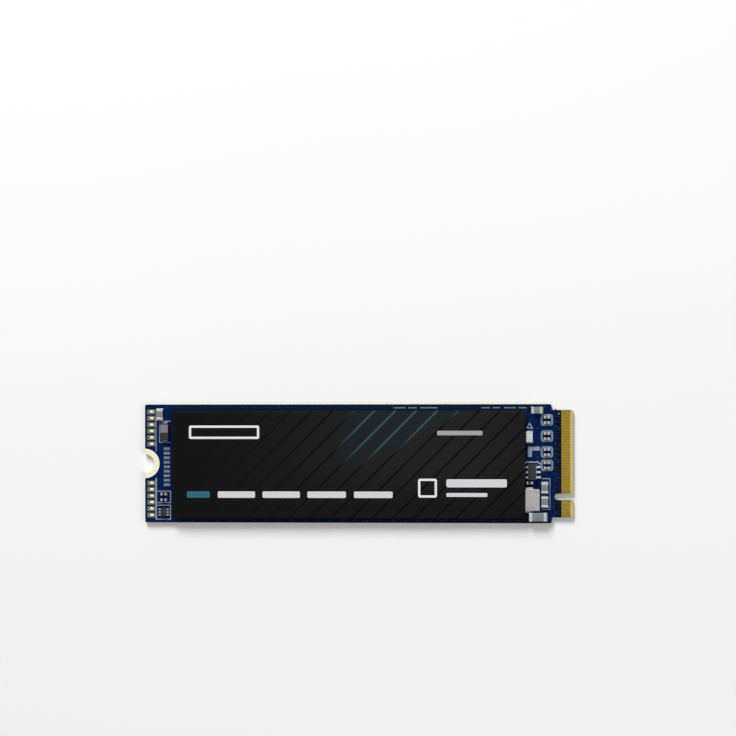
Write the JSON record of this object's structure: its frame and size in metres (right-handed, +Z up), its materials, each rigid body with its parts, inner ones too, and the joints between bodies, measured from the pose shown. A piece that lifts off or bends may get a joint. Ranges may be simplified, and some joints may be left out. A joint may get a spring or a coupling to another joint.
{
  "type": "gumstick solid state drive",
  "caption": "Flat plug-in solid state drive: blue circuit board with a gilded edge connector, a half-round screw notch, soldered chips and a black printed label over them.",
  "frame": {"origin": "middle of the board's footprint, on the plane of its underside contacts", "axes": "+X along the board towards the edge contacts, +Y across it away from the key notch, +Z up out of the label side"},
  "size_m": [0.08, 0.022, 0.0021],
  "materials": {
    "board": "blue solder mask over glass laminate, gilded copper where bare",
    "label": "printed film, satin",
    "carrier": "dark green laminate",
    "silicon": "polished bare silicon",
    "lid": "nickel-plated, satin",
    "mould": "moulded, fine matt",
    "crystal": "metal lid on a ceramic case",
    "inductor": "pressed metal powder",
    "polarised": "moulded, with a pale end band",
    "fuse": "white ceramic with tinned ends",
    "resistor": "glazed black, with tinned ends",
    "capacitor": "brown ceramic with tinned ends"
  },
  "bodies": {
    "root": {"circuit_board": "board", "label": "label", "controller": "carrier", "controller_die": "silicon", "controller_lid": "lid", "flash_chip_1": "mould", "flash_chip_2": "mould", "memory_chip": "mould", "power_chip": "mould", "start_chip": "mould", "load_switch": "mould", "temperature_sensor": "mould", "clock_crystal": "crystal", "input_inductor": "inductor", "power_inductor_1": "inductor", "power_inductor_2": "inductor", "polarised_capacitor": "polarised", "input_fuse": "fuse", "gate_resistor": "resistor", "tail_resistor_1": "resistor", "tail_resistor_2": "resistor", "tail_capacitor": "capacitor", "input_capacitor": "capacitor", "bulk_capacitor": "capacitor", "output_capacitor_1": "capacitor", "output_capacitor_2": "capacitor", "power_capacitor_1": "capacitor", "power_capacitor_2": "capacitor", "power_capacitor_3": "capacitor", "crystal_capacitor_1": "capacitor", "crystal_capacitor_2": "capacitor", "coupling_capacitor_1": "capacitor", "coupling_capacitor_2": "capacitor", "coupling_capacitor_3": "capacitor", "coupling_capacitor_4": "capacitor", "coupling_capacitor_5": "capacitor", "coupling_capacitor_6": "capacitor", "coupling_capacitor_7": "capacitor", "coupling_capacitor_8": "capacitor", "decoupling_capacitor_1": "capacitor", "decoupling_capacitor_2": "capacitor", "decoupling_capacitor_3": "capacitor", "decoupling_capacitor_4": "capacitor", "decoupling_capacitor_5": "capacitor", "decoupling_capacitor_6": "capacitor", "decoupling_capacitor_7": "capacitor", "decoupling_capacitor_8": "capacitor", "decoupling_capacitor_9": "capacitor", "decoupling_capacitor_10": "capacitor", "decoupling_capacitor_11": "capacitor", "decoupling_capacitor_12": "capacitor", "decoupling_capacitor_13": "capacitor", "decoupling_capacitor_14": "capacitor", "decoupling_capacitor_15": "capacitor", "decoupling_capacitor_16": "capacitor", "decoupling_capacitor_17": "capacitor", "decoupling_capacitor_18": "capacitor", "decoupling_capacitor_19": "capacitor", "decoupling_capacitor_20": "capacitor", "decoupling_capacitor_21": "capacitor"}
  },
  "joints": []
}
